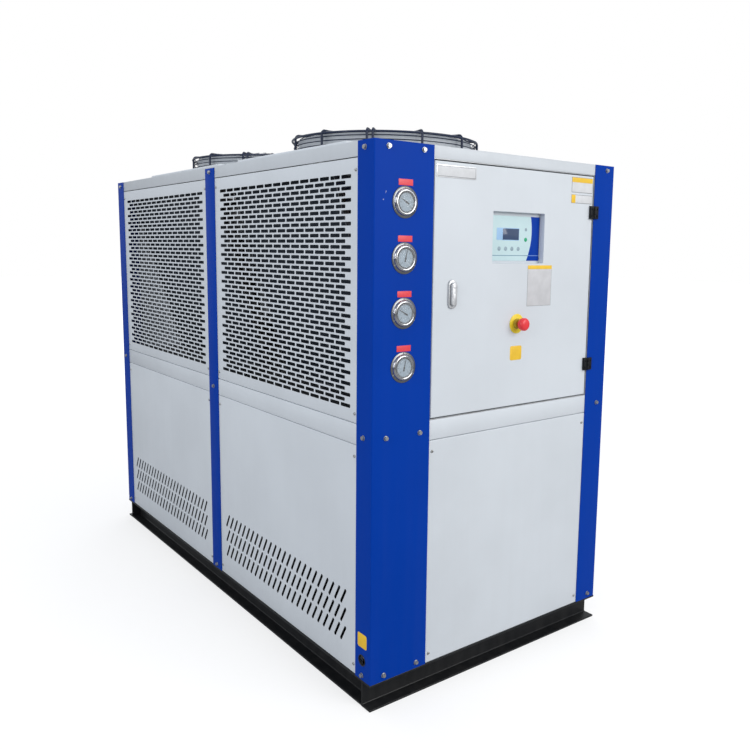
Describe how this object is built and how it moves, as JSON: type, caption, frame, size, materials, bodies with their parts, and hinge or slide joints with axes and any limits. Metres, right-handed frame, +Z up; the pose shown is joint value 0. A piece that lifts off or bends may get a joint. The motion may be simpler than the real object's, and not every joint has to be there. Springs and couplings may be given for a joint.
{
  "type": "water chiller",
  "caption": "Air-cooled water chiller cabinet: blue posts, white perforated side panels, two roof fans, gauge column and a hinged control door, on a channel base.",
  "frame": {"origin": "ground level under the middle of the bounding box, the stop button included", "axes": "+Z up; -Y is the front with the control door; +X is the right side seen from the front"},
  "size_m": [0.98, 2.0646, 1.7129],
  "materials": {
    "blue_enamel": "gloss powder coat",
    "white_enamel": "fine textured powder coat",
    "black_paint": "satin black paint",
    "hinge_black": "black die-cast",
    "galvanised_steel": "zinc-coated sheet",
    "coil_fins": "finned aluminium",
    "guard_wire": "dark blue coated wire",
    "fan_black": "black",
    "chrome": "polished",
    "red_plastic": "gloss",
    "yellow_plastic": "satin",
    "control_film": "printed film"
  },
  "bodies": {
    "cabinet": {"base_frame": "black_paint", "coil_deck": "galvanised_steel", "electrical_box": "galvanised_steel", "floor_sheet": "black_paint", "front_fan": "fan_black", "front_fan_deck": "white_enamel", "front_fan_guard": "guard_wire", "front_left_coil": "coil_fins", "front_left_post": "blue_enamel", "front_lower_panel": "white_enamel", "front_right_coil": "coil_fins", "front_right_post": "blue_enamel", "left_front_grille": "white_enamel", "left_front_lower_panel": "white_enamel", "left_middle_post": "blue_enamel", "left_rear_grille": "white_enamel", "left_rear_lower_panel": "white_enamel", "lower_hinge_post_leaf": "hinge_black", "middle_rail": "white_enamel", "pressure_gauge_1": "chrome", "pressure_gauge_2": "chrome", "pressure_gauge_3": "chrome", "pressure_gauge_4": "chrome", "rear_fan": "fan_black", "rear_fan_deck": "white_enamel", "rear_fan_guard": "guard_wire", "rear_left_coil": "coil_fins", "rear_left_post": "blue_enamel", "rear_lower_panel": "white_enamel", "rear_right_coil": "coil_fins", "rear_right_post": "blue_enamel", "rear_upper_panel": "white_enamel", "right_front_grille": "white_enamel", "right_front_lower_panel": "white_enamel", "right_middle_post": "blue_enamel", "right_rear_grille": "white_enamel", "right_rear_lower_panel": "white_enamel", "roof": "white_enamel", "upper_hinge_post_leaf": "hinge_black"},
    "control_door": {"control_door": "white_enamel", "control_unit": "control_film", "latch_plate": "chrome", "stop_plate": "yellow_plastic", "lower_hinge_door_leaf": "hinge_black", "upper_hinge_door_leaf": "hinge_black"},
    "latch_lever": {"latch_lever": "chrome"},
    "stop_button": {"stop_button": "red_plastic"}
  },
  "joints": [
    {"name": "control_door_hinge", "type": "hinge", "parent": "cabinet", "child": "control_door", "pos_m": [0.391, -0.99885, 1.179], "axis": [0, 0, 1], "range_deg": [0, 120]},
    {"name": "latch_lever_turn", "type": "hinge", "parent": "control_door", "child": "latch_lever", "pos_m": [-0.215, -0.99565, 1.1985], "axis": [0, -1, 0], "range_deg": [0, 90]},
    {"name": "stop_button_press", "type": "slide", "parent": "control_door", "child": "stop_button", "axis": [0, 1, 0], "range_m": [0, 0.004]}
  ]
}
